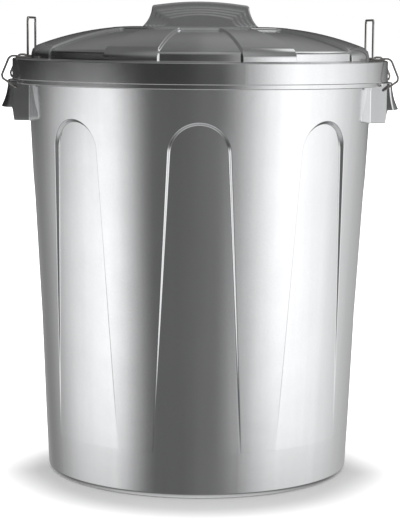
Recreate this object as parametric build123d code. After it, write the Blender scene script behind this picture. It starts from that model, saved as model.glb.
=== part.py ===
from build123d import *
from math import cos, radians, sin, sqrt, tan
import os

# A round plastic bin with a lift-off lid that two wire clips hold down.
# Millimetres, +Z up. The origin is the middle of the base, on the floor. X runs through the two clips.

# Tub: a tapered bucket
tub_height = 464.3  # top of the rim above the floor
tub_base_r = 171.0  # outside radius of the wall where it would meet the floor
tub_draft = 3.0  # degrees that the wall leans outward
tub_wall = 2.4
tub_floor = 3.0
base_round = 6.0  # outside rounding around the bottom edge
foot_width = 18.0  # flat ring that the tub stands on
foot_lift = 2.5  # how far the middle of the base is lifted off the floor

# Rim: the wall turns outward and down again, and the lid sits on it
rim_overhang = 12.7  # from the wall's outside to the lip's outside
rim_wall = 2.4
lip_drop = 25.3  # height of the turned-down lip
rim_round = 1.5

# Panels: arches pressed into the wall, deepest at the head and running out at the foot
panel_count = 8
panel_depth = 4.0  # at the head
panel_below_rim = 61.3  # from the rim down to the top of the arch
side_panel_below_rim = 123.3  # the two panels under the handles start lower
panel_foot_z = 55.0  # where the panel runs out into the wall
panel_head_r = 32.0  # radius of the arch, half the panel's width at its head
panel_spread = 2.7  # degrees that each side edge leans outward on its way down

# Lid: rests on the rim
seat_gap = 0.2  # between the rim and the underside of the lid's ledge
lid_wall = 2.4
lid_clearance = 1.6  # between the rim's lip and the inside of the lid's skirt
lid_skirt = 23.0  # height of the skirt, with the ledge
skirt_round = 1.5
ledge_width = 19.3  # from the skirt's outside to the dome's upright wall
dome_rise = 36.5  # from the ledge to the level middle of the dome
dome_level_r = 70.0  # radius of the level middle
dome_wall_height = 12.5  # upright wall, from the ledge to the corner that the shoulder rounds
dome_shoulder_r = 12.0  # rounding between the dome and its upright wall

# Petals: recesses in the dome, between eight ribs
petal_count = 8
petal_depth = 2.7
petal_half_angle = 13.3  # degrees each side of the petal's middle
petal_inner_r = 103.5
petal_corner_r = 6.0
petal_shoulder_r = 4.0

# Grip: a hollow bar across the lid
grip_base_half = 65.0  # half its length where it leaves the dome
grip_top_half = 54.5
grip_side_height = 23.5  # from the dome to the top corners
grip_crown = 4.5  # how much higher the middle of the top is than its corners
grip_hollow = 2.6  # how far each end is hollowed
grip_half_depth = 17.0  # half its size from front to back, at the steps in its middle
grip_round = 1.5
frame_top = 6.5  # band left above the steps
frame_side = 5.0  # band left at each end of the steps
terrace_count = 4  # steps by which each face stands out towards its middle
terrace_inset = 4.6
terrace_drop = 2.6
terrace_depth = 1.5

# Handles: open-bottomed boxes under the rim, one on each side
handle_lid_gap = 0.9  # between the lid's skirt and the top of the handle
handle_wall = 2.4
handle_width = 87.6  # over the cheeks, at their outer ends
cheek_splay = 15.0  # degrees that the cheeks open towards the tub
cheek_reach = 19.0  # from the rim's lip inward to the root pads
cheek_height = 45.0
cheek_corner_r = 4.0
pad_width = 27.0  # of the angled root pad, along its face
pad_turn = 65.5  # degrees between the pad and the X axis
skirt_drop = 30.6  # height of the handle's outer skirt
skirt_bulge_top = 5.0  # how far the middle of the skirt stands out from its ends, at the top
skirt_bulge_bottom = 9.0
skirt_end_top = 4.0  # how far the skirt's ends stand out from the rim's lip, at the top
skirt_end_bottom = 8.0
skirt_flare_share = 0.25  # share of the flare that is reached half way down

# Clips: one bent wire each, hung in the cheeks
wire_d = 2.5
pivot_clearance = 0.1  # on the radius
pivot_in = 4.0  # from the rim's lip inward to the pivot
pivot_below_top = 8.3  # from the handle's top down to the pivot
pin_length = 7.5  # of wire inside the cheek's outer face
leg_gap = 0.2  # between the cheek and the bend that turns the leg into it
kink_out = 16.5  # from the pivot outward to the kink
kink_up = 13.5
edge_gap = 3.2  # between the lid's edge and the wire outside it
hump_rise = 1.2  # how much higher the wire runs over the edge than on the ledge
ledge_gap = 0.25  # between the wire and the lid's ledge
hump_in = 3.0  # from the lid's edge inward to the end of the hump
ledge_dip = 4.0  # length in which the wire comes down to the ledge
lever_gap = 2.9  # between the dome's wall and the upright lever
lever_height = 45.0  # from the ledge to the middle of the cross bar
pin_bend_r = 2.0
kink_bend_r = 5.0
hump_bend_r = 2.5
lever_bend_r = 3.0
cross_bend_r = 5.0

overcut = 1.0  # how far a cutting solid reaches past the face that it opens

# Worked out from the values above
draft_slope = tan(radians(tub_draft))
rim_r = tub_base_r + tub_height * draft_slope  # outside of the wall at the rim
lip_r = rim_r + rim_overhang
lip_z = tub_height - lip_drop
panel_head_z = tub_height - panel_below_rim
side_panel_head_z = tub_height - side_panel_below_rim
lid_r = lip_r + lid_clearance + lid_wall
ledge_z = tub_height + seat_gap + lid_wall
lid_bottom_z = ledge_z - lid_skirt
dome_r = lid_r - ledge_width
dome_z = ledge_z + dome_rise
dome_sag = dome_rise - dome_wall_height
dome_curve_r = ((dome_r - dome_level_r) ** 2 + dome_sag**2) / (2 * dome_sag)  # arc outward from the middle
handle_top_z = lid_bottom_z - handle_lid_gap
half_handle = handle_width / 2
pivot_x = lip_r - pivot_in
pivot_z = handle_top_z - pivot_below_top
cheek_y = half_handle + pivot_in * tan(radians(cheek_splay))  # the cheek's outer face at the pivot
leg_y = cheek_y + leg_gap + pin_bend_r


def wall_r(z):
    """Outside radius of the tub's wall at height z."""
    return tub_base_r + z * draft_slope


def turned(outline):
    """Solid of revolution about Z from a face drawn with radius across and height up."""
    return revolve(Plane.XZ * outline, Axis.Z)


def cone(low_r, high_r, low_z, high_z):
    """Solid cone frustum about Z."""
    outline = Polyline((0, low_z), (low_r, low_z), (high_r, high_z), (0, high_z), close=True)
    return turned(make_face(outline))


def arch(head_z, grow):
    """Arch-shaped face, seen from the side, enlarged all round by grow."""
    r = panel_head_r + grow
    centre_z = head_z - panel_head_r
    lean = radians(panel_spread)
    side, shoulder_z = r * cos(lean), centre_z + r * sin(lean)
    foot_z = panel_foot_z / 2
    foot = side + (shoulder_z - foot_z) * tan(lean)
    head = ThreePointArc((-side, shoulder_z), (0, centre_z + r), (side, shoulder_z))
    sides = Polyline((side, shoulder_z), (foot, foot_z), (-foot, foot_z), (-side, shoulder_z))
    return make_face([head, sides])


def panel_floor(inset):
    """Solid cone whose side is the floor of the panels, or lies inset below it."""
    across = inset / cos(radians(tub_draft))
    per_mm = panel_depth / (panel_head_z - panel_foot_z)
    low_r = wall_r(0) + panel_foot_z * per_mm - across
    high_r = wall_r(tub_height) - (tub_height - panel_foot_z) * per_mm - across
    return cone(low_r, high_r, 0, tub_height)


def tub_form(inset):
    """Solid bucket with its panels, inset below the tub's outside, without rim or base details."""
    across = inset / cos(radians(tub_draft))
    floor_z = tub_floor + foot_lift if inset else 0
    form = cone(wall_r(floor_z) - across, wall_r(tub_height) - across, floor_z, tub_height)
    form = fillet(form.edges().sort_by(Axis.Z)[0], max(base_round - inset, tub_wall / 2))
    floor = panel_floor(inset)
    for i in range(panel_count):
        angle = 360 / panel_count * i
        under_handle = abs(sin(radians(angle))) < 0.01
        head_z = side_panel_head_z if under_handle else panel_head_z
        face = Plane((wall_r(tub_height), 0, 0), x_dir=(0, 1, 0), z_dir=(1, 0, 0)) * arch(head_z, inset)
        cut = extrude(face, -wall_r(tub_height) / 2) - floor
        form -= Rot(0, 0, angle) * cut
    return form


def rim():
    """The flange and the turned-down lip around the mouth of the tub."""
    top, low = tub_height, lip_z
    inside = wall_r(low) - tub_wall / 2
    outline = Polyline(
        (inside, top - rim_wall),
        (lip_r - rim_wall, top - rim_wall),
        (lip_r - rim_wall, low),
        (lip_r, low),
        (lip_r, top),
        (inside, top),
        close=True,
    )
    face = make_face(outline)
    return turned(fillet(face.vertices().sort_by_distance((lip_r, top))[0], rim_round))


def cheek_plan(inset):
    """Plan of one handle's cheeks and pads towards +X, each face moved in by inset, the outer end open."""
    splay, turn = radians(cheek_splay), radians(pad_turn)
    root = Vector(lip_r - cheek_reach, half_handle + cheek_reach * tan(splay))
    foot = root + Vector(-pad_width * cos(turn), pad_width * sin(turn))
    end = Vector(lip_r + inset, half_handle - inset * tan(splay))
    # Each face's line moves in by inset, and the corner between them is where the moved lines meet
    half_bend = (turn - splay) / 2
    mitre = Vector(-sin(splay + half_bend), -cos(splay + half_bend)) * (inset / cos(half_bend))
    end_in = Vector(0, -inset / cos(splay))
    foot_in = Vector(-sin(turn), -cos(turn)) * inset
    points = [end + end_in, root + mitre, foot + foot_in, Vector(0, (foot + foot_in).Y)]
    return make_face(Polyline(*points, *[Vector(p.X, -p.Y) for p in reversed(points)], close=True))


def skirt_plan(share, inset):
    """D-shaped plan of the handle's skirt; share runs from 0 at its top edge to 1 at its bottom edge."""
    end_x = lip_r + skirt_end_top + (skirt_end_bottom - skirt_end_top) * share - inset
    bulge = skirt_bulge_top + (skirt_bulge_bottom - skirt_bulge_top) * share
    back_x = lip_r - handle_wall - inset
    y = half_handle - inset
    front = ThreePointArc((end_x, -y), (end_x + bulge, 0), (end_x, y))
    return make_face([front, Polyline((end_x, y), (back_x, y), (back_x, -y), (end_x, -y))])


def skirt_form(inset):
    """Solid behind the handle's skirt, inset below its outside, flaring downwards."""
    levels = [(0, 0), (0.5, skirt_flare_share), (1, 1)]  # share of the drop and share of the flare
    return loft(
        [Pos(0, 0, handle_top_z - skirt_drop * drop) * skirt_plan(flare, inset) for drop, flare in levels]
    )


def handle():
    """One handle, at the +X side, reaching into the tub behind it."""
    low_z = handle_top_z - cheek_height
    block = extrude(Pos(0, 0, low_z) * cheek_plan(0), cheek_height)
    corner = block.edges().filter_by(Axis.Y).sort_by_distance((lip_r, 0, low_z))[0]
    block = fillet(corner, cheek_corner_r)
    cheeks = block - extrude(Pos(0, 0, low_z) * cheek_plan(handle_wall), cheek_height - handle_wall)
    skirt = skirt_form(0) - Pos(0, 0, -handle_wall) * skirt_form(handle_wall)
    bore = Cylinder(wire_d / 2 + pivot_clearance, 2 * handle_width)
    return cheeks + skirt - Pos(pivot_x, 0, pivot_z) * Rot(90, 0, 0) * bore


def bin_body():
    """The tub with its panels, rim and two handles."""
    outside = tub_form(0)
    right = handle() - cone(wall_r(0) - tub_wall / 2, wall_r(tub_height) - tub_wall / 2, 0, tub_height)
    body = outside + rim() + right + mirror(right, Plane.YZ)
    body -= tub_form(tub_wall)
    lifted = wall_r(0) - base_round - foot_width
    body -= cone(lifted, lifted - foot_lift, 0, foot_lift)
    return body


def dome_form(inset, step, shoulder):
    """Solid lid whose skin lies inset below the outside and whose dome is step lower still."""
    drop = inset + step
    wall_x, top_z, arc_r = dome_r - drop, dome_z - drop, dome_curve_r - drop
    arc_z = dome_z - dome_curve_r
    edge_z = arc_z + sqrt(arc_r**2 - (wall_x - dome_level_r) ** 2)
    mid_x = (wall_x + dome_level_r) / 2
    mid_z = arc_z + sqrt(arc_r**2 - (mid_x - dome_level_r) ** 2)
    low_z = lid_bottom_z - (overcut if inset else 0)
    rest = Polyline(
        (dome_level_r, top_z),
        (0, top_z),
        (0, low_z),
        (lid_r - inset, low_z),
        (lid_r - inset, ledge_z - inset),
        (wall_x, ledge_z - inset),
        (wall_x, edge_z),
    )
    outline = make_face([rest, ThreePointArc((wall_x, edge_z), (mid_x, mid_z), (dome_level_r, top_z))])
    corner = outline.vertices().sort_by_distance((wall_x, edge_z))[0]
    outline = fillet(corner, max(shoulder - inset, lid_wall / 4))
    return turned(outline)


def petal_plan(grow):
    """Plan of one petal towards +X, enlarged all round by grow."""
    turn = radians(petal_half_angle)
    outer_r = lid_r + lid_wall
    inner = (petal_inner_r * cos(turn), petal_inner_r * sin(turn))
    outer = (outer_r * cos(turn), outer_r * sin(turn))
    plan = make_face(Polyline(inner, outer, (outer[0], -outer[1]), (inner[0], -inner[1]), close=True))
    plan = fillet(plan.vertices().sort_by(Axis.X)[:2], petal_corner_r)
    return offset(plan, grow) if grow else plan


def lid_form(inset):
    """Solid lid with its petals, inset below the outside."""
    form = dome_form(inset, 0, dome_shoulder_r)
    floor = dome_form(inset, petal_depth, petal_shoulder_r)
    low_z = ledge_z - inset
    cut = extrude(Pos(0, 0, low_z) * petal_plan(inset), dome_rise + overcut) - floor
    for i in range(petal_count):
        form -= Rot(0, 0, 360 / petal_count * i) * cut
    return form


def grip_face(side_in, top_in):
    """Front view of the grip, its ends moved in by side_in and its top lowered by top_in."""
    base, top = grip_base_half - side_in, grip_top_half - side_in
    low_z, corner_z = dome_z, dome_z + grip_side_height - top_in
    mid_x, mid_z = (base + top) / 2 - grip_hollow, (low_z + corner_z) / 2
    root_z = dome_z - lid_wall
    ends = ThreePointArc((base, low_z), (mid_x, mid_z), (top, corner_z))
    crown = ThreePointArc((top, corner_z), (0, corner_z + grip_crown), (-top, corner_z))
    other = ThreePointArc((-top, corner_z), (-mid_x, mid_z), (-base, low_z))
    foot = Polyline((-base, low_z), (-base, root_z), (base, root_z), (base, low_z))
    return Plane.XZ * make_face([ends, crown, other, foot])


def terrace(i):
    """How far step i of the grip is in from the ends and down from the top, and half its depth."""
    half = grip_half_depth - terrace_depth * (terrace_count - 1 - i)
    return frame_side + terrace_inset * i, frame_top + terrace_drop * i, half


def grip():
    """The grip with its stepped faces, before it is hollowed."""
    body = extrude(grip_face(0, 0), grip_half_depth - terrace_depth * terrace_count, both=True)
    upper = body.edges().filter_by(lambda edge: edge.center().Z > dome_z + 1)
    body = fillet(upper, grip_round)
    for i in range(terrace_count):
        side_in, top_in, half = terrace(i)
        body += extrude(grip_face(side_in, top_in), half, both=True)
    return body


def grip_hollow_form():
    """The hollow inside the grip: a box in its thin frame and one in each step, a wall behind the faces."""
    low = dome_z - lid_wall
    high = dome_z + grip_side_height - lid_wall
    half = grip_half_depth - terrace_depth * terrace_count - lid_wall
    form = Pos(0, 0, (low + high) / 2) * Box(2 * (grip_top_half - frame_side), 2 * half, high - low)
    for i in range(terrace_count):
        side_in, top_in, half = terrace(i)
        high = dome_z + grip_side_height - top_in - lid_wall
        size = (2 * (grip_top_half - side_in - lid_wall), 2 * (half - lid_wall), high - low)
        form += Pos(0, 0, (low + high) / 2) * Box(*size)
    return form


def lid():
    """The lid with its grip, open from below."""
    body = lid_form(0)
    edge = body.edges().filter_by(GeomType.CIRCLE).sort_by_distance((lid_r, 0, ledge_z))[0]
    body = fillet(edge, skirt_round)
    return body + grip() - lid_form(lid_wall) - grip_hollow_form()


def bail():
    """One wire clip, at the +X side."""
    edge_x = sqrt(lid_r**2 - leg_y**2)
    ledge_wire_z = ledge_z + ledge_gap + wire_d / 2
    hump_z = ledge_wire_z + hump_rise
    lever_x = sqrt(dome_r**2 - leg_y**2) + lever_gap + wire_d / 2
    leg = [
        (pivot_x, cheek_y - pin_length, pivot_z),
        (pivot_x, leg_y, pivot_z),
        (pivot_x + kink_out, leg_y, pivot_z + kink_up),
        (edge_x + edge_gap + wire_d / 2, leg_y, hump_z),
        (edge_x - hump_in, leg_y, hump_z),
        (edge_x - hump_in - ledge_dip, leg_y, ledge_wire_z),
        (lever_x, leg_y, ledge_wire_z),
        (lever_x, leg_y, ledge_z + lever_height),
    ]
    bends = [pin_bend_r, kink_bend_r, hump_bend_r, hump_bend_r, hump_bend_r, lever_bend_r, cross_bend_r]
    points = leg + [(x, -y, z) for x, y, z in reversed(leg)]
    path = FilletPolyline(*points, radius=bends + bends[::-1])
    return sweep(Plane(path @ 0, z_dir=path % 0) * Circle(wire_d / 2), path=path)


os.makedirs("parts", exist_ok=True)
export_step(bin_body(), "parts/bin_body.step")
export_step(lid(), "parts/lid.step")
export_step(bail(), "parts/bail_right.step")
export_step(mirror(bail(), Plane.YZ), "parts/bail_left.step")
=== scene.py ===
import bmesh
import bpy
import numpy as np
from mathutils import Matrix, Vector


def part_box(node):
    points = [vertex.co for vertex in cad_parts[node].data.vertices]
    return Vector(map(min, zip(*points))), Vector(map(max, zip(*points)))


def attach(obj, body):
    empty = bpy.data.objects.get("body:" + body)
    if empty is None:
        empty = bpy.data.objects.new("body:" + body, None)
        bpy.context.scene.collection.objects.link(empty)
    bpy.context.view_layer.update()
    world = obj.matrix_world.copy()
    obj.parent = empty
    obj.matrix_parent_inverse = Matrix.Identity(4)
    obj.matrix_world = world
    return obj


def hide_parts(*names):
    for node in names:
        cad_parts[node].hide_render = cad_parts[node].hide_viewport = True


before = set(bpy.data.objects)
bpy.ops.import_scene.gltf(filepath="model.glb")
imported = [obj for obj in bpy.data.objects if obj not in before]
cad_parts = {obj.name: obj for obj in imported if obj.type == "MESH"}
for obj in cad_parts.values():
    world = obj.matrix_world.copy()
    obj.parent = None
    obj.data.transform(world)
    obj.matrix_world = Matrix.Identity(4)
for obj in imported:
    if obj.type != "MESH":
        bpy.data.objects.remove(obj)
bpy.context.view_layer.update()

# The tub comes first: one moulding of silver polypropylene, a bucket that widens upwards, with eight
# arches pressed into its wall, a rim that turns out and down, and a flat ring to stand on.
# Lengths in this script are millimetres, and skin() carries them to metres.
MM = 1000.0
tub_low, tub_high = (np.array(corner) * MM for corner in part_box("bin_body"))
tub_top = tub_high[2]
lip_r = tub_high[1]
wall = 2.4
draft = np.radians(3.0)
rim_reach = 12.7
base_r = lip_r - rim_reach - tub_top * np.tan(draft)
sectors = 8
half_sector = np.pi / sectors

# The panels are deepest at the head and run out to nothing at panel_zero. Their sides lean in by panel_lean
# on the way up, and the two under the handles are shorter. The sectors end below the rim, at sector_top
panel_foot = 50.0
panel_zero = 55.0
panel_head = tub_top - 61.3
side_panel_head = tub_top - 123.3
panel_deepest = 4.0
panel_half = 32.0
panel_lean = np.radians(2.7)
step_width = 1.4
step_width_per_depth = 0.6
sector_top = tub_top - 6.3
side_top = 370.0
lip_drop = 25.3


def unit(vectors):
    """Each vector divided by its own length."""
    return vectors / np.linalg.norm(vectors, axis=-1, keepdims=True)


def rounded(corners, radii, steps=12):
    """A line through the corners with an arc in each inner corner, and the line's direction along it.

    On an arc the point at angle a is the tangent point plus the radius times
    (sin a * direction in + (1 - cos a) * direction towards the centre)."""
    corners = np.array(corners, float)
    radius = np.broadcast_to(np.array(radii, float), len(corners) - 2)[:, None]
    into = unit(corners[1:-1] - corners[:-2])
    out = unit(corners[2:] - corners[1:-1])
    cosine = np.sum(into * out, axis=1, keepdims=True)
    turn = np.arccos(cosine)
    inward = unit(out - cosine * into)[:, None]
    start = (corners[1:-1] - into * radius * np.tan(turn / 2))[:, None]
    angle = (turn * np.linspace(0, 1, steps))[..., None]
    into = into[:, None]
    arcs = start + radius[:, None] * (np.sin(angle) * into + (1 - np.cos(angle)) * inward)
    heading = np.cos(angle) * into + np.sin(angle) * inward
    size = corners.shape[1]
    points = np.concatenate([corners[:1], arcs.reshape(-1, size), corners[-1:]])
    return points, np.concatenate([into[0], heading.reshape(-1, size), out[-1:]])


def along(points, headings, distances):
    """The points and headings at these distances along a line."""
    steps = np.linalg.norm(np.diff(points, axis=0), axis=1)
    walked = np.concatenate([[0], np.cumsum(steps)])
    at = np.stack([np.interp(distances, walked, column) for column in points.T], axis=1)
    heading = np.stack([np.interp(distances, walked, column) for column in headings.T], axis=1)
    return at, unit(heading)


def pressed_sector(band, offsets, border, gap_columns, inner_columns):
    """Layout of one sector around a pressed outline: two grids of places with their distance outside it.

    band holds a row of places for each point of the outline, one at each offset, outermost first. The outer
    grid runs straight from the border to the band and over it. The inner grid spans the band's innermost
    places from each point to the one opposite."""
    share = np.linspace(0, 1, gap_columns, endpoint=False)[:, None]
    gap = border[:, None] * (1 - share) + band[:, :1] * share
    outer = np.concatenate([gap, band], axis=1)
    distance = np.concatenate([np.full(gap_columns, offsets[0]), offsets])
    half = (len(band) + 1) // 2
    share = np.linspace(0, 1, inner_columns)[:, None]
    inner = band[:half, None, -1] * (1 - share) + band[::-1][:half, None, -1] * share
    return (outer, np.broadcast_to(distance, outer.shape[:2])), (inner, np.full(inner.shape[:2], offsets[-1]))


def turned(profile, angles):
    """Surface of revolution about Z: a profile of (radius, height) carried round to each angle."""
    r, z = profile[:, None, 0], profile[:, None, 1]
    return np.stack([r * np.cos(angles), r * np.sin(angles), z + 0 * angles], axis=-1)


def about_z(points, angle):
    """The points turned about Z by an angle."""
    c, s = np.cos(angle), np.sin(angle)
    return points @ np.array([[c, s, 0], [-s, c, 0], [0, 0, 1]])


def skin(name, grids, weld=0.01, flat_rings=()):
    """One mesh from grids of points in millimetres: neighbours make quads, and points that meet are joined.

    At the heights in flat_rings the open ring between two edges is closed with flat faces.
    Each point is shaded by the mean direction of its faces, weighted by their areas."""
    points, quads, count = [], [], 0
    for grid in grids:
        rows, columns = grid.shape[:2]
        corner = count + (np.arange(rows - 1)[:, None] * columns + np.arange(columns - 1)).ravel()
        quads.append(np.stack([corner, corner + 1, corner + columns + 1, corner + columns], axis=1))
        points.append(grid.reshape(-1, 3))
        count += rows * columns
    mesh = bpy.data.meshes.new(name)
    mesh.from_pydata(np.concatenate(points) / MM, [], np.concatenate(quads).tolist())
    model = bmesh.new()
    model.from_mesh(mesh)
    bmesh.ops.remove_doubles(model, verts=model.verts, dist=weld / MM)
    bmesh.ops.dissolve_degenerate(model, edges=model.edges, dist=weld / MM / 4)
    for height in flat_rings:
        open_edges = [
            edge
            for edge in model.edges
            if edge.is_boundary and all(abs(v.co.z * MM - height) < weld for v in edge.verts)
        ]
        bmesh.ops.triangle_fill(model, use_beauty=True, edges=open_edges, normal=(0, 0, 1))
    bmesh.ops.recalc_face_normals(model, faces=model.faces)
    model.to_mesh(mesh)
    model.free()
    mesh.polygons.foreach_set("use_smooth", np.ones(len(mesh.polygons), bool))
    corners = np.zeros(len(mesh.loops), int)
    mesh.loops.foreach_get("vertex_index", corners)
    normal, area = np.zeros(3 * len(mesh.polygons)), np.zeros(len(mesh.polygons))
    sides = np.zeros(len(mesh.polygons), int)
    mesh.polygons.foreach_get("normal", normal)
    mesh.polygons.foreach_get("area", area)
    mesh.polygons.foreach_get("loop_total", sides)
    total = np.full((len(mesh.vertices), 3), 1e-12)
    np.add.at(total, corners, np.repeat(normal.reshape(-1, 3) * area[:, None], sides, axis=0))
    mesh.normals_split_custom_set_from_vertices(unit(total))
    piece = bpy.data.objects.new(name, mesh)
    bpy.context.scene.collection.objects.link(piece)
    return piece


def wall_r(z, inset=0.0):
    """Radius of the wall's outside at height z, or of the surface that lies inset behind it."""
    return base_r + z * np.tan(draft) - inset / np.cos(draft)


def tub_surface(flat, outside, inset):
    """The tub's wall at places (across, height), as points of the sector towards +X.

    The radius is the cone's, less the panel's depth times a step that falls over its width as half a
    sine wave: 1 inside the outline and 0 outside."""
    across, z = flat[..., 0], flat[..., 1]
    depth = panel_deepest * np.clip((z - panel_zero) / (panel_head - panel_zero), 0, None)
    share = np.clip(outside / (step_width + step_width_per_depth * depth), -0.5, 0.5)
    r = wall_r(z, inset) - depth * (0.5 - 0.5 * np.sin(np.pi * share))
    return np.stack([np.sqrt(r**2 - across**2), across, z], axis=-1)


def tub_sector(head, inset):
    """Grids of one sector's wall with its panel, and the angles of its lower edge."""
    radius = panel_half + inset
    corner_x = radius * np.tan((np.pi / 2 - panel_lean) / 2)
    foot_x = corner_x + (head + inset - panel_foot) * np.tan(panel_lean)
    climbing = [(-foot_x, panel_foot), (-corner_x, head + inset)]
    falling = [(corner_x, head + inset), (foot_x, panel_foot)]
    line, heading = rounded(climbing + falling, radius, steps=61)
    arc = radius * (np.pi - 2 * panel_lean)
    total = np.sum(np.linalg.norm(np.diff(line, axis=0), axis=1))
    side = (total - arc) / 2
    side_rows, arc_rows, top_columns = 20, 40, 24
    distances = np.concatenate([
        np.linspace(0, side, side_rows, endpoint=False),
        np.linspace(side, side + arc, arc_rows, endpoint=False),
        np.linspace(side + arc, total, side_rows + 1),
    ])
    outline, heading = along(line, heading, distances)
    outward = np.stack([-heading[:, 1], heading[:, 0]], axis=1)
    # The border climbs one side, crosses the top in equal angles and comes down the other side. Its rows
    # reach side_top where the panel's head begins
    climb = side_rows + (arc_rows - top_columns) // 2
    height = np.interp(np.arange(climb), [0, side_rows, climb], [panel_foot, side_top, sector_top])
    angle = np.linspace(-half_sector, half_sector, top_columns + 1)
    height = np.concatenate([height, np.full(top_columns + 1, sector_top), height[::-1]])
    angle = np.concatenate([np.full(climb, -half_sector), angle, np.full(climb, half_sector)])
    border = np.stack([wall_r(height, inset) * np.sin(angle), height], axis=1)
    outside = np.array([2.6, 2.1, 1.8, 1.5, 1.2, 0.9, 0.6, 0.3])
    offsets = np.concatenate([outside, [0], -outside[::-1]])
    band = outline[:, None] + outward[:, None] * offsets[:, None]
    outer, inner = pressed_sector(band, offsets, border, 8, 15)
    grids = [tub_surface(*outer, inset), tub_surface(*inner, inset)]
    edge = np.concatenate([grids[0][0], grids[1][0], grids[0][-1, ::-1]])
    return grids, np.arctan2(edge[:, 1], edge[:, 0])


def tub_wall(inset):
    """Grids of the whole wall, the angles around its lower edge and those around its top."""
    grids, low = [], []
    for i in range(sectors):
        turn = 2 * half_sector * i
        head = side_panel_head if i % (sectors // 2) == 0 else panel_head
        sector, angles = tub_sector(head, inset)
        grids += [about_z(grid, turn) for grid in sector]
        low.append(angles + turn)
    around_top = np.linspace(-half_sector, 2 * np.pi - half_sector, 24 * sectors + 1)
    return grids, np.concatenate(low), around_top


base_round, foot_in, foot_lift, floor_z = 6.0, 24.0, 2.5, 5.5
outer_wall, outer_low, around = tub_wall(0.0)
inner_wall, inner_low, _ = tub_wall(wall)
under_rim = tub_top - wall
rim_profile, _ = rounded(
    [
        (wall_r(sector_top), sector_top),
        (wall_r(under_rim), under_rim),
        (lip_r - wall, under_rim),
        (lip_r - wall, tub_top - lip_drop),
        (lip_r, tub_top - lip_drop),
        (lip_r, tub_top),
        (wall_r(tub_top, wall), tub_top),
        (wall_r(sector_top, wall), sector_top),
    ],
    [1.2, 1.5, 1.0, 1.0, 1.5, 1.2],
    steps=7,
)
base_profile, _ = rounded(
    [
        (wall_r(panel_foot), panel_foot),
        (base_r, 0),
        (base_r - foot_in, 0),
        (base_r - foot_in - foot_lift, foot_lift),
        (0, foot_lift),
    ],
    [base_round, 0.8, 0.8],
    steps=9,
)
floor_profile, _ = rounded(
    [(wall_r(panel_foot, wall), panel_foot), (wall_r(floor_z, wall), floor_z), (0, floor_z)],
    [base_round - wall],
    steps=9,
)
tub_grids = outer_wall + inner_wall + [turned(rim_profile, around)]
tub_grids += [turned(base_profile, outer_low), turned(floor_profile, inner_low)]

# The two handles are moulded in one with the tub: open-bottomed boxes under the rim, each with two splayed
# cheeks that hold a clip, angled pads where the cheeks run into the wall, and a skirt that flares outwards.
lid_low, lid_high = (np.array(corner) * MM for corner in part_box("lid"))
handle_top = lid_low[2] - 0.9
half_handle = 43.8
splay, pad_turn = np.radians(15.0), np.radians(65.5)
cheek_reach, pad_width, cheek_drop = 19.0, 27.0, 45.0
skirt_drop, skirt_end, skirt_bulge, skirt_flare = 30.6, 4.0, 5.0, 4.0
front_share = 0.92
swing_start, swing_width = 1.6, 3.0
pad_gap, pad_rise = 6.0, 3.0
buried = 1.0
arc_points, arc_count = 9, 9
cheek_start, side_start = 2 * arc_points, 3 * arc_points


def mirrored(points):
    """The points followed by their mirror images in Y, last one first."""
    points = np.array(points, float)
    return np.concatenate([points, points[::-1] * (1, -1)])


def handle_plan(inset, flare, stations):
    """Plan of a handle from one buried end round to the other, each face moved in by inset.

    flare is how far the skirt stands out, from 0 at its top edge to 1 at its bottom edge. The skirt's
    front is an arc whose end tangents meet in front of its middle; it takes front_share of them."""
    root = np.array([lip_r - cheek_reach, half_handle + cheek_reach * np.tan(splay)])
    along_pad = np.array([-np.cos(pad_turn), np.sin(pad_turn)])
    foot = root + pad_width * along_pad - inset * np.array([np.sin(pad_turn), np.cos(pad_turn)])
    bend = (pad_turn - splay) / 2
    root = root - np.array([np.sin(splay + bend), np.cos(splay + bend)]) * inset / np.cos(bend)
    end_x, side_y = lip_r + skirt_end + skirt_flare * flare - inset, half_handle - inset
    bulge = front_share * (skirt_bulge + skirt_flare * flare)
    front_r = (side_y**2 + bulge**2) / (2 * bulge)
    front_x = end_x + side_y * np.tan(np.arcsin(side_y / front_r))
    half = [foot * 0.98, foot, root, (lip_r, side_y), (end_x, side_y)]
    whole = mirrored(half)
    corners = np.concatenate([whole[:5], [(front_x, 0)], whole[5:]])
    # One radius for each corner: the pad's foot, the pad and the cheek, the cheek's end and the skirt's end
    radii = [0.8, 2.5 + inset, 3.0, 2.6 - inset * 0.9]
    points, _ = rounded(corners, radii + [front_share * front_r] + radii[::-1], steps=arc_points)
    index = np.arange(len(points))
    return np.stack([np.interp(stations, index, column) for column in points.T], axis=1)


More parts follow.
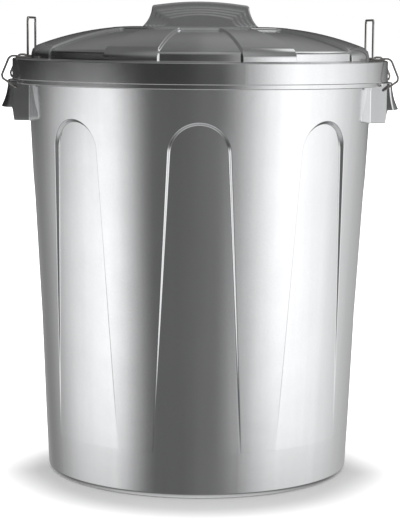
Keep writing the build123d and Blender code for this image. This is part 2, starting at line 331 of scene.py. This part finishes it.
def handle_shell():
    """Closed shell of the handle towards +X, as one section carried round the plan.

    The section runs out over the top plate, down the outside, round the lower edge, up the inside and
    back under the plate; its inner end is buried in the tub's wall. Stations number the plan's points.
    Extra ones stand on the cheek and on the side after it, where the lower edge swings up."""
    extra = [cheek_start + f for f in (0.5, 0.75, 0.86, 0.9, 0.94, 0.97)]
    extra += [side_start + f for f in (0.08, 0.16, 0.24, 0.32, 0.4, 0.6, 0.8)]
    count = arc_points * arc_count + 2
    mirror = [count - 1 - f for f in extra]
    stations = np.sort(np.concatenate([np.arange(count), extra, mirror]))
    plans = [[handle_plan(inset, flare, stations) for flare in (0, 1)] for inset in (0.0, wall)]
    x, y = plans[0][1].T
    swing = np.clip((x - lip_r + swing_start) / swing_width, 0, 1)
    low = handle_top - cheek_drop + (cheek_drop - skirt_drop) * swing**2 * (3 - 2 * swing)
    low = low + pad_rise * np.clip((np.abs(y) - half_handle - pad_gap) / pad_width, 0, 1)
    angle = np.arctan2(plans[0][0][:, 1], plans[0][0][:, 0])
    tub_side = np.stack([np.cos(angle), np.sin(angle)], axis=1) * (wall_r(handle_top) - buried)

    def level(depth, z, reach=0.0):
        """The plan at height z and at a depth in the wall, drawn back towards the tub's wall by reach."""
        flare = np.clip((handle_top - z) / skirt_drop, 0, 1)[:, None] ** 2
        outer, inner = (plan[0] * (1 - flare) + plan[1] * flare for plan in plans)
        here = outer + (inner - outer) * depth / wall
        here = here * (1 - reach) + tub_side * reach
        return np.column_stack([here, z])

    top, edge = np.full(len(stations), handle_top), 1.0
    quarter = np.linspace(0, np.pi / 2, 5)
    rows = [level(edge, top, reach) for reach in (1, 0.6, 0.3, 0)]
    rows += [level(edge * (1 - np.sin(a)), top - edge * (1 - np.cos(a))) for a in quarter[1:]]
    rows += [level(0.0, (top - edge) * (1 - f) + (low + edge) * f) for f in np.linspace(0, 1, 11)[1:]]
    rows += [level(edge * (1 - np.cos(a)), low + edge * (1 - np.sin(a))) for a in quarter[1:]]
    rows += [level(wall - edge * (1 - np.sin(a)), low + edge * (1 - np.cos(a))) for a in quarter]
    rows += [level(wall, (low + edge) * (1 - f) + (top - wall) * f) for f in np.linspace(0, 1, 8)[1:]]
    rows += [level(wall, top - wall, reach) for reach in (0.3, 0.6, 1)]
    rows += [rows[0]]
    shell = np.stack(rows, axis=1)
    ends = [np.broadcast_to(shell[end].mean(axis=0), shell[:1].shape) for end in (0, -1)]
    return np.concatenate([ends[0], shell, ends[1]])


handle = handle_shell()
tub = skin("tub", tub_grids + [handle, handle * (-1, 1, 1)])
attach(tub, "bin")
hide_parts("bin_body")

# The lid is the second moulding: a skirt round the rim's lip, a ledge that rests on the rim, and a dome with
# eight petals sunk between ribs. It is the same thin wall all through, so its underside repeats the dome.
lid_r = lid_high[1]
ledge_z = tub_top + 0.2 + wall
dome_r = lid_r - 19.3
dome_z = ledge_z + 36.5
level_r, dome_sag = 70.0, 24.0
dome_curve = ((dome_r - level_r) ** 2 + dome_sag**2) / (2 * dome_sag)
flat_r = 69.0
shoulder, petal_shoulder = 12.0, 4.0
petal_depth, petal_half, petal_inner, petal_corner = 2.7, np.radians(13.1), 103.5, 6.0
petal_step = 2.4
foot_round = 0.8
dome_draft, draft_height = np.radians(2.0), 12.5
profile_span = 144.0
skirt_draft = 0.1


def dome_profile(inset, step, rounding, share):
    """Radius and height on the dome's skin, from its level middle at share 0 to the foot of its wall at 1.

    It is a level line, an arc whose centre is under the end of the level part, a rounding that touches
    the arc and the wall, and the upright wall. inset and step move the skin in."""
    curve, wall_x = dome_curve - inset - step, dome_r - inset - step
    low = dome_z - dome_curve
    small_x = wall_x - rounding
    small_z = low + np.sqrt((curve - rounding) ** 2 - (small_x - level_r) ** 2)
    lean = np.arctan2(small_x - level_r, small_z - low)
    level, arc, bend = level_r - flat_r, curve * lean, rounding * (np.pi / 2 - lean)
    down = small_z - (ledge_z - inset + foot_round)
    walked = share * (level + arc + bend + down)
    on_arc, on_bend = (walked - level) / curve, lean + (walked - level - arc) / rounding
    where = [walked < level, on_arc < lean, on_bend < np.pi / 2]
    r = [flat_r + walked, level_r + curve * np.sin(on_arc), small_x + rounding * np.sin(on_bend)]
    z = [0 * walked + low + curve, low + curve * np.cos(on_arc), small_z + rounding * np.cos(on_bend)]
    return np.select(where, r, wall_x), np.select(where, z, small_z - (walked - level - arc - bend))


def lid_surface(place, outside, inset):
    """The dome's skin at places (distance walked out along the profile, angle), as points of a sector.

    The point lies between the rib's profile and the petal's, by a step that falls over its width as half
    a sine wave. The wall below the shoulder leans in by its draft."""
    rho, angle = place[..., 0], place[..., 1]
    share = np.clip((rho - flat_r) / profile_span, 0, 1)
    sunk = 0.5 - 0.5 * np.sin(np.pi * np.clip(outside / petal_step, -0.5, 0.5))
    rib = dome_profile(inset, 0.0, max(shoulder - inset, wall / 4), share)
    petal = dome_profile(inset, petal_depth, max(petal_shoulder - inset, wall / 4), share)
    r, z = (high * (1 - sunk) + low * sunk for high, low in zip(rib, petal))
    r = r - np.tan(dome_draft) * np.clip(z - ledge_z, 0, draft_height) * np.clip(2 * share, 0, 1)
    return np.stack([r * np.cos(angle), r * np.sin(angle), z], axis=-1)


def lid_sector(inset):
    """Grids of one sector of the dome with its petal."""
    ray = np.array([np.cos(petal_half), np.sin(petal_half)])
    far, near = (flat_r + profile_span) * ray, petal_inner * ray
    corners = [far * (1, -1), near * (1, -1), near, far]
    line, heading = rounded(corners, petal_corner, steps=31)
    total = np.sum(np.linalg.norm(np.diff(line, axis=0), axis=1))
    turn = np.pi / 2 - petal_half
    side = profile_span + flat_r - petal_inner - petal_corner * np.tan(turn / 2)
    # The rows stand closest where the outline climbs the wall and crosses the shoulder
    side_rows = np.concatenate([
        np.linspace(0, 5, 5), np.linspace(5.7, 16, 16), np.linspace(17, 22, 5), np.linspace(27, side, 9)
    ])
    corner_rows = side + petal_corner * turn * np.linspace(0, 1, 9)[1:]
    distances = np.concatenate([side_rows, corner_rows, np.linspace(corner_rows[-1], total / 2, 4)[1:]])
    distances = np.concatenate([distances, total - distances[-2::-1]])
    outline, heading = along(line, heading, distances)
    outward = np.stack([-heading[:, 1], heading[:, 0]], axis=1)
    outline = outline + outward * inset
    bend_rows = 3
    climb = len(side_rows) + bend_rows
    top = len(distances) - 2 * climb
    rho = np.hypot(*outline[: len(side_rows)].T)
    rho = np.concatenate([rho, np.linspace(rho[-1], flat_r, bend_rows + 2)[1:-1]])
    rho = np.minimum(rho, flat_r + profile_span)
    rho = np.concatenate([rho, np.full(top, flat_r), rho[::-1]])
    angle = np.linspace(-half_sector, half_sector, top)
    angle = np.concatenate([np.full(climb, -half_sector), angle, np.full(climb, half_sector)])
    border = np.stack([rho, angle], axis=1)
    offsets = np.array([1.9, 1.5, 1.2, 0.9, 0.6, 0.3, 0.0, -0.3, -0.6, -0.9, -1.2, -1.5, -1.9])
    band = outline[:, None] + outward[:, None] * offsets[:, None]
    x, y = band[..., 0], band[..., 1]
    band = np.stack([np.hypot(x, y), np.arctan2(y, x)], axis=-1)
    return [lid_surface(*grid, inset) for grid in pressed_sector(band, offsets, border, 8, 15)]


def dome(inset):
    """Grids of the whole dome, and the radii and angles of the foot of its wall."""
    sector = lid_sector(inset)
    edge = np.concatenate([sector[0][0], sector[1][0], sector[0][-1, ::-1]])
    turns = 2 * half_sector * np.arange(sectors)
    grids = [about_z(grid, turn) for grid in sector for turn in turns]
    angles = (np.arctan2(edge[:, 1], edge[:, 0]) + turns[:, None]).ravel()
    return grids, np.tile(np.hypot(edge[:, 0], edge[:, 1]), sectors), angles


def foot_of_wall(radii, angles, inset):
    """Grid of the rounding at the foot of the dome's wall.

    It is a quarter circle that starts at the wall's radius, which follows the petals."""
    a = np.linspace(0, np.pi / 2, 5)[:, None]
    r = radii + foot_round * (1 - np.cos(a))
    z = ledge_z - inset + foot_round * (1 - np.sin(a)) + 0 * r
    return np.stack([r * np.cos(angles), r * np.sin(angles), z], axis=-1)


dome_grids, foot_r, foot_angle = dome(0.0)
under_grids, under_r, under_angle = dome(wall)
ledge_r = 200.0
skirt_profile, _ = rounded(
    [
        (ledge_r, ledge_z),
        (lid_r - skirt_draft, ledge_z),
        (lid_r, lid_low[2]),
        (lid_r - wall, lid_low[2]),
        (lid_r - wall, ledge_z - wall),
        (ledge_r, ledge_z - wall),
    ],
    [1.5, 1.0, 1.0, 1.0],
    steps=7,
)
outer_foot = foot_of_wall(foot_r, foot_angle, 0.0)
under_foot = foot_of_wall(under_r, under_angle, wall)
skirt = turned(skirt_profile, foot_angle)
ledge = np.stack([outer_foot[-1], skirt[0]])
lid_grids = dome_grids + under_grids + [outer_foot, ledge, skirt, under_foot]

# The grip stands across the dome and is moulded in one with it: a hollow bar with a crowned top and hollowed
# ends, whose two faces stand out towards their middle in four steps.
grip_base, grip_top, grip_side = 65.0, 54.5, 23.5
grip_crown = lid_high[2] - dome_z - grip_side
grip_hollow, grip_half, grip_round = 2.6, 11.0, 1.5
grip_corner, grip_lean = 3.0, np.radians(5.0)
first_side, first_top, next_side, next_top = 5.0, 6.5, 4.6, 2.6
terraces, terrace_depth, riser = 4, 1.5, 0.16


def grip_outline(side_in, top_in):
    """Front view of the grip, from its left foot over the top to its right foot, with two corners rounded.

    The ends and the crown are arcs. Each is the bend at a point that stands off the middle of its chord by
    the arc's rise / (1 - share / 2), where share is how much of the two lines at the bend the arc takes."""
    base, top, high = grip_base - side_in, grip_top - side_in, dome_z + grip_side - top_in
    foot, corner = np.array([-base, dome_z]), np.array([-top, high])
    chord = unit(corner - foot)
    share = 0.76
    waist = (foot + corner) / 2 + grip_hollow / (1 - share / 2) * chord[::-1] * (1, -1)
    crest = np.array([0, high + grip_crown / (1 - share / 2)])
    end_turn = 2 * np.arccos(unit(corner - waist) @ chord)
    crown_turn = 2 * np.arccos(unit(crest - corner)[0])
    end_r = share * np.linalg.norm(corner - waist) / np.tan(end_turn / 2)
    crown_r = share * np.linalg.norm(crest - corner) / np.tan(crown_turn / 2)
    half = np.array([foot, waist, corner])
    corners = np.concatenate([half, [crest], half[::-1] * (-1, 1)])
    points, _ = rounded(corners, [end_r, grip_corner, crown_r, grip_corner, end_r], steps=11)
    return points


def grip_grids():
    """Grids of the grip's outside, its two flat middle faces, and the hollow under it.

    Each face stands out by the risers passed on the way in, each half a sine wave, and leans back by its
    mould draft."""
    quarter = np.linspace(0, np.pi / 2, 6)
    across = np.array([-3, -0.5, -0.25, 0, 0.25, 0.5, 3]) * riser
    levels = np.concatenate([[0.25], (np.arange(1, terraces + 1)[:, None] + across).ravel()])
    depth = sum(
        terrace_depth * (0.5 + 0.5 * np.sin(np.pi * np.clip((levels - i) / riser, -0.5, 0.5)))
        for i in range(1, terraces + 1)
    )
    steps = np.arange(terraces + 2)
    side = np.interp(levels, steps, np.concatenate([[grip_round], first_side + next_side * steps[:-1]]))
    top = np.interp(levels, steps, np.concatenate([[grip_round], first_top + next_top * steps[:-1]]))
    section = [(s, t, grip_half + d) for s, t, d in zip(side[::-1], top[::-1], depth[::-1])]
    for a in quarter:
        edge = grip_round * (1 - np.sin(a))
        section.append((edge, edge, grip_half - grip_round * (1 - np.cos(a))))
    section += [(0.0, 0.0, y) for y in np.linspace(grip_half - grip_round, 0, 5)[1:]]
    section += [(s, t, -y) for s, t, y in section[-2::-1]]
    front_views = np.stack([grip_outline(s, t) for s, t, _ in section], axis=1)
    x, z = front_views[..., 0], front_views[..., 1]
    y = np.broadcast_to([y for _, _, y in section], x.shape)
    sides = np.stack([x, y, z], axis=-1)
    sides[..., 1] -= np.sign(sides[..., 1]) * np.tan(grip_lean) * (sides[..., 2] - dome_z)
    half = (sides.shape[0] + 1) // 2
    share = np.linspace(0, 1, 13)[:, None]
    left, right = sides[:half, None], sides[::-1][:half, None]
    faces = [left[:, :, end] * (1 - share) + right[:, :, end] * share for end in (0, -1)]
    hollow_x, hollow_y = grip_top - first_side, grip_half - 2 * wall
    back_half = [(-hollow_x, 0), (-hollow_x, hollow_y), (hollow_x, hollow_y)]
    front_half = [(hollow_x, -hollow_y), (-hollow_x, -hollow_y), (-hollow_x, 0)]
    ring, _ = rounded(back_half + front_half, 2.0, steps=6)
    mouth, ceiling, bevel = dome_z - wall, dome_z + grip_side - wall, 1.0
    upright = [(1, mouth), (1, mouth + 0.6), (1, ceiling - bevel)]
    closing = [(1 - bevel / hollow_y, ceiling), (0, ceiling)]
    hollow = [np.column_stack([ring * size, np.full(len(ring), z)]) for size, z in upright + closing]
    return [sides, *faces, np.stack(hollow)]


level_rings = (dome_z, dome_z - wall, ledge_z - wall)
lid = skin("lid_with_grip", lid_grids + grip_grids(), flat_rings=level_rings)
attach(lid, "lid")
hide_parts("lid")

# Each clip is one piece of plated spring wire. It turns in the two cheeks, kinks outwards round the lid's
# edge, lies along the ledge and stands up beside the dome as a lever that joins the two legs.
wire_r = 1.25
pivot_in, pivot_drop = 4.0, 8.3
pivot_x, pivot_z = lip_r - pivot_in, handle_top - pivot_drop
cheek_y = half_handle + pivot_in * np.tan(splay)
pin_length, pin_play, pin_bend = 7.5, 0.2, 2.0
leg_y = cheek_y + pin_play + pin_bend
kink_out, kink_up = 16.9, 11.5
edge_x = np.sqrt(lid_r**2 - leg_y**2)
edge_gap, ledge_gap, hump = 3.2, 0.25, 1.2
hump_end, hump_foot = 3.0, 7.0
on_ledge = ledge_z + ledge_gap + wire_r
lever_gap, lever_height = 2.9, 45.0
lever_x = np.sqrt(dome_r**2 - leg_y**2) + lever_gap + wire_r
lever_z = ledge_z + lever_height
leg = [
    (pivot_x, cheek_y - pin_length, pivot_z),
    (pivot_x, leg_y, pivot_z),
    (pivot_x + kink_out, leg_y, pivot_z + kink_up),
    (edge_x + edge_gap + wire_r, leg_y, on_ledge + hump),
    (edge_x - hump_end, leg_y, on_ledge + hump),
    (edge_x - hump_foot, leg_y, on_ledge),
    (lever_x, leg_y, on_ledge),
    (lever_x, leg_y, lever_z),
]
leg_bends = [pin_bend, 5.0, 6.5, 2.5, 2.5, 3.0, 5.0]
wire_line, wire_heading = rounded(
    leg + [(x, -y, z) for x, y, z in reversed(leg)], leg_bends + leg_bends[::-1], steps=10
)


def wire_tube(line, heading, radius, sides=20):
    """Closed round tube: at each point of the line, a circle square to the heading.

    One constant direction that no part of the wire points in sets where each circle starts."""
    across = unit(np.cross(heading, (1.0, 1.2, -0.6)))[:, None]
    over = np.cross(heading[:, None], across)
    angle = np.linspace(0, 2 * np.pi, sides + 1)[:, None]
    tube = line[:, None] + radius * (np.cos(angle) * across + np.sin(angle) * over)
    caps = [np.broadcast_to(line[end], tube[:1].shape) for end in (0, -1)]
    return np.concatenate([caps[0], tube, caps[1]])


clip = wire_tube(wire_line, wire_heading, wire_r)
clips = {}
for side, sign in (("right", 1), ("left", -1)):
    clips[side] = skin("clip_" + side, [clip * (sign, 1, 1)])
    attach(clips[side], "bail_" + side)
    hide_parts("bail_" + side)


# Silver polypropylene, of the tub and the lid: a clear skin over plastic full of aluminium flakes. The flakes
# give a fine sparkle, the melt leaves faint upright flow lines, and the moulded skin is very slightly wavy.
def effect(name, inputs, outputs):
    """An empty node group with named sockets: its tree and its two end nodes."""
    group = bpy.data.node_groups.new(name, "ShaderNodeTree")
    for socket, kind, value in inputs:
        group.interface.new_socket(socket, in_out="INPUT", socket_type=kind).default_value = value
    for socket, kind in outputs:
        group.interface.new_socket(socket, in_out="OUTPUT", socket_type=kind)
    return group, group.nodes.new("NodeGroupInput"), group.nodes.new("NodeGroupOutput")


def noise(tree, place, scale, detail):
    """Grey noise of a scale at the places of a vector output."""
    node = tree.nodes.new("ShaderNodeTexNoise")
    node.inputs["Scale"].default_value = scale
    node.inputs["Detail"].default_value = detail
    tree.links.new(place, node.inputs["Vector"])
    return node.outputs[0]


def stretched(tree, place, scale):
    """The places with each axis multiplied by its own number."""
    node = tree.nodes.new("ShaderNodeMapping")
    node.inputs["Scale"].default_value = scale
    tree.links.new(place, node.inputs["Vector"])
    return node.outputs[0]


def ranged(tree, value, low, high, start=0.3, end=0.7):
    """The value carried from start..end to low..high, each a number or an output."""
    node = tree.nodes.new("ShaderNodeMapRange")
    tree.links.new(value, node.inputs["Value"])
    node.inputs["From Min"].default_value = start
    node.inputs["From Max"].default_value = end
    node.inputs["To Min"].default_value = low
    node.inputs["To Max"].default_value = high
    return node.outputs["Result"]


def calculated(tree, operation, *values):
    """A Math node; each value is a number or another node's output."""
    node = tree.nodes.new("ShaderNodeMath")
    node.operation = operation
    for socket, value in zip(node.inputs, values):
        if isinstance(value, (int, float)):
            socket.default_value = value
        else:
            tree.links.new(value, socket)
    return node.outputs[0]


flakes, flakes_in, flakes_out = effect(
    "flake_tone",
    [("Place", "NodeSocketVector", (0, 0, 0)), ("Colour", "NodeSocketColor", (0.6, 0.6, 0.6, 1))],
    [("Colour", "NodeSocketColor"), ("Roughness shift", "NodeSocketFloat")],
)
place = flakes_in.outputs["Place"]
sparkle = ranged(flakes, noise(flakes, place, 1400.0, 1.0), 0.95, 1.05)
flow = ranged(flakes, noise(flakes, stretched(flakes, place, (55, 55, 1.6)), 1.0, 2.0), 0.975, 1.025)
cloud = ranged(flakes, noise(flakes, place, 9.0, 2.0), 0.985, 1.015)
tone = calculated(flakes, "MULTIPLY", calculated(flakes, "MULTIPLY", sparkle, flow), cloud)
tinted = flakes.nodes.new("ShaderNodeVectorMath")
tinted.operation = "SCALE"
flakes.links.new(flakes_in.outputs["Colour"], tinted.inputs[0])
flakes.links.new(tone, tinted.inputs["Scale"])
flakes.links.new(tinted.outputs[0], flakes_out.inputs["Colour"])
shift = ranged(flakes, noise(flakes, place, 23.0, 3.0), -0.02, 0.02)
flakes.links.new(shift, flakes_out.inputs["Roughness shift"])

waves, waves_in, waves_out = effect(
    "moulded_waves",
    [
        ("Place", "NodeSocketVector", (0, 0, 0)),
        ("Long", "NodeSocketFloat", 1.0),
        ("Short", "NodeSocketFloat", 1.0),
    ],
    [("Normal", "NodeSocketVector")],
)
place = waves_in.outputs["Place"]
long_wave = noise(waves, stretched(waves, place, (1, 1, 0.6)), 16.0, 0.0)
short_wave = noise(waves, stretched(waves, place, (0.35, 0.35, 1)), 90.0, 0.0)
height = calculated(waves, "MULTIPLY", long_wave, waves_in.outputs["Long"])
ripple = calculated(waves, "MULTIPLY", short_wave, waves_in.outputs["Short"])
bump = waves.nodes.new("ShaderNodeBump")
bump.inputs["Distance"].default_value = 0.0001
waves.links.new(calculated(waves, "ADD", height, ripple), bump.inputs["Height"])
waves.links.new(bump.outputs["Normal"], waves_out.inputs["Normal"])


def finish_of(name, colour, roughness, long_waves, short_waves):
    """A metallic finish that uses both effects at Object coordinates: its material and its shader."""
    made = bpy.data.materials.new(name)
    made.use_nodes = True
    tree = made.node_tree
    shader = tree.nodes["Principled BSDF"]
    shader.inputs["Metallic"].default_value = 1.0
    where = tree.nodes.new("ShaderNodeTexCoord").outputs["Object"]
    speck, wavy = (tree.nodes.new("ShaderNodeGroup") for _ in range(2))
    speck.node_tree, wavy.node_tree = flakes, waves
    speck.inputs["Colour"].default_value = (*colour, 1)
    wavy.inputs["Long"].default_value = long_waves
    wavy.inputs["Short"].default_value = short_waves
    for node in (speck, wavy):
        tree.links.new(where, node.inputs["Place"])
    tree.links.new(speck.outputs["Colour"], shader.inputs["Base Color"])
    shifted = calculated(tree, "ADD", speck.outputs["Roughness shift"], roughness)
    tree.links.new(shifted, shader.inputs["Roughness"])
    tree.links.new(wavy.outputs["Normal"], shader.inputs["Normal"])
    return made, shader


silver_grey = (0.59, 0.595, 0.602)
silver, silver_shader = finish_of("silver_plastic", silver_grey, 0.17, 0.35, 0.12)
silver_shader.inputs["Coat Weight"].default_value = 0.5
silver_shader.inputs["Coat Roughness"].default_value = 0.12
tub.data.materials.append(silver)
lid.data.materials.append(silver)

# Nickel plate on the clips' spring wire: a thin bright coat that is laid on after the wire is bent. It
# mirrors the room and keeps the faint unevenness of the drawn wire under it.
nickel_grey = (0.46, 0.44, 0.42)
plated, _ = finish_of("plated_wire", nickel_grey, 0.14, 0.0, 0.1)
for piece in clips.values():
    piece.data.materials.append(plated)

# The floor that the bin stands on is a plain pale sheet, which is matt so that it shows only the shadow.
# It isn't seen in the plastic, which mirrors the studio alone.
floor_size = 30.0
floor_corners = np.array([(-1, -1, 0), (1, -1, 0), (1, 1, 0), (-1, 1, 0)]) * floor_size
mesh = bpy.data.meshes.new("floor")
mesh.from_pydata(floor_corners.tolist(), [], [(0, 1, 2, 3)])
floor = bpy.data.objects.new("floor", mesh)
bpy.context.scene.collection.objects.link(floor)
pale = bpy.data.materials.new("floor")
pale.use_nodes = True
matt = pale.node_tree.nodes["Principled BSDF"]
matt.inputs["Base Color"].default_value = (0.9, 0.9, 0.9, 1)
matt.inputs["Roughness"].default_value = 1.0
matt.inputs["Specular IOR Level"].default_value = 0.0
mesh.materials.append(pale)
floor.visible_glossy = False

# A wide soft light hangs overhead and a little behind the bin, so its shade lies on the floor round the
# base and towards the viewer. The plastic doesn't mirror it.
overhead = bpy.data.objects.new("overhead", bpy.data.lights.new("overhead", "SUN"))
overhead.data.energy = 3.0
overhead.data.angle = np.radians(13)
overhead.matrix_world = Matrix.Rotation(np.radians(-6), 4, "X")
overhead.visible_glossy = False
bpy.context.scene.collection.objects.link(overhead)

# The studio that the plastic mirrors is a world of soft panels, placed by azimuth (0 towards the viewer, left
# minus) and elevation in degrees: a low panel on the left, a taller one on the right, a dark front and a
# paler room above and behind. The camera and the floor see plain white.
world = bpy.data.worlds.new("studio")
bpy.context.scene.world = world
world.use_nodes = True
room = world.node_tree
room.nodes.clear()


def fade(value, start, end):
    """Smooth step from 0 at start to 1 at end, which may lie on either side of start."""
    node = room.nodes.new("ShaderNodeMapRange")
    node.interpolation_type = "SMOOTHSTEP"
    room.links.new(value, node.inputs["Value"])
    node.inputs["From Min"].default_value = min(start, end)
    node.inputs["From Max"].default_value = max(start, end)
    node.inputs["To Min"].default_value = float(start > end)
    node.inputs["To Max"].default_value = float(start < end)
    return node.outputs["Result"]


def product(*values):
    """All the values multiplied together."""
    total = values[0]
    for value in values[1:]:
        total = calculated(room, "MULTIPLY", total, value)
    return total


def total_of(*values):
    """All the values added together."""
    total = values[0]
    for value in values[1:]:
        total = calculated(room, "ADD", total, value)
    return total


split = room.nodes.new("ShaderNodeSeparateXYZ")
room.links.new(room.nodes.new("ShaderNodeTexCoord").outputs["Generated"], split.inputs[0])
towards_viewer = calculated(room, "MULTIPLY", split.outputs["Y"], -1.0)
azimuth = product(calculated(room, "ARCTAN2", split.outputs["X"], towards_viewer), 180 / np.pi)
elevation = product(calculated(room, "ARCSINE", split.outputs["Z"]), 180 / np.pi)
beside = calculated(room, "ABSOLUTE", azimuth)
low_down = fade(elevation, -26, -13)
left_sides = product(fade(azimuth, -30, -68), fade(azimuth, -152, -60))
left_panel = product(left_sides, fade(elevation, -0.5, -8), low_down, 1.65)
right_sides = product(fade(azimuth, 10, 64), fade(azimuth, 180, 62))
right_panel = product(right_sides, fade(elevation, 26, 4), low_down, 1.62)
high_sides = product(fade(azimuth, 92, 106), fade(azimuth, 160, 140))
high_panel = product(high_sides, fade(elevation, 26, 38), fade(elevation, 66, 56), 1.1)
front = product(fade(azimuth, -14, 10), fade(azimuth, 90, 40), 0.06)
front_low = product(fade(elevation, 0, -6), 0.155)
front_mid = product(fade(beside, 70, 25), fade(elevation, 1, 9), 0.15)
above = product(fade(elevation, 9, 34), total_of(product(fade(azimuth, -50, 90), 0.1), 0.16))
back = product(fade(beside, 95, 140), fade(elevation, 1, 14), fade(elevation, 50, 20), 0.09)
back_low = product(fade(beside, 120, 180), fade(elevation, 0, -9), 0.24)
below = product(fade(elevation, -28, -65), 0.55)
panels = total_of(left_panel, right_panel, high_panel)
glow = total_of(panels, front, front_low, front_mid, above, back, back_low, below, 0.015)
paths = room.nodes.new("ShaderNodeLightPath")
seen = room.nodes.new("ShaderNodeMix")
room.links.new(paths.outputs["Is Diffuse Ray"], seen.inputs["Factor"])
seen.inputs["A"].default_value = 1.0
seen.inputs["B"].default_value = 0.95
mirrored_room = room.nodes.new("ShaderNodeMix")
room.links.new(paths.outputs["Is Glossy Ray"], mirrored_room.inputs["Factor"])
room.links.new(seen.outputs["Result"], mirrored_room.inputs["A"])
room.links.new(glow, mirrored_room.inputs["B"])
background = room.nodes.new("ShaderNodeBackground")
background.inputs["Color"].default_value = (1, 1, 1, 1)
room.links.new(mirrored_room.outputs["Result"], background.inputs["Strength"])
room.links.new(background.outputs[0], room.nodes.new("ShaderNodeOutputWorld").inputs["Surface"])

# The camera stands about two metres in front, at the height of the grip, and looks down a little. Its lens
# is as long as the photograph's perspective asks for, and it is rolled by half a degree as there.
camera = bpy.data.objects.new("camera", bpy.data.cameras.new("camera"))
bpy.context.scene.collection.objects.link(camera)
long_side, focal_pixels = 522, 1860.0
camera.data.lens = focal_pixels / long_side * camera.data.sensor_width
camera_place = (0.0017, -2.120, 0.504)
pitched = Matrix.Rotation(np.radians(90 - 7.2), 4, "X")
rolled = Matrix.Rotation(np.radians(0.5), 4, "Z")
camera.matrix_world = Matrix.Translation(camera_place) @ pitched @ rolled
bpy.context.scene.camera = camera
bpy.context.scene.view_settings.view_transform = "Standard"
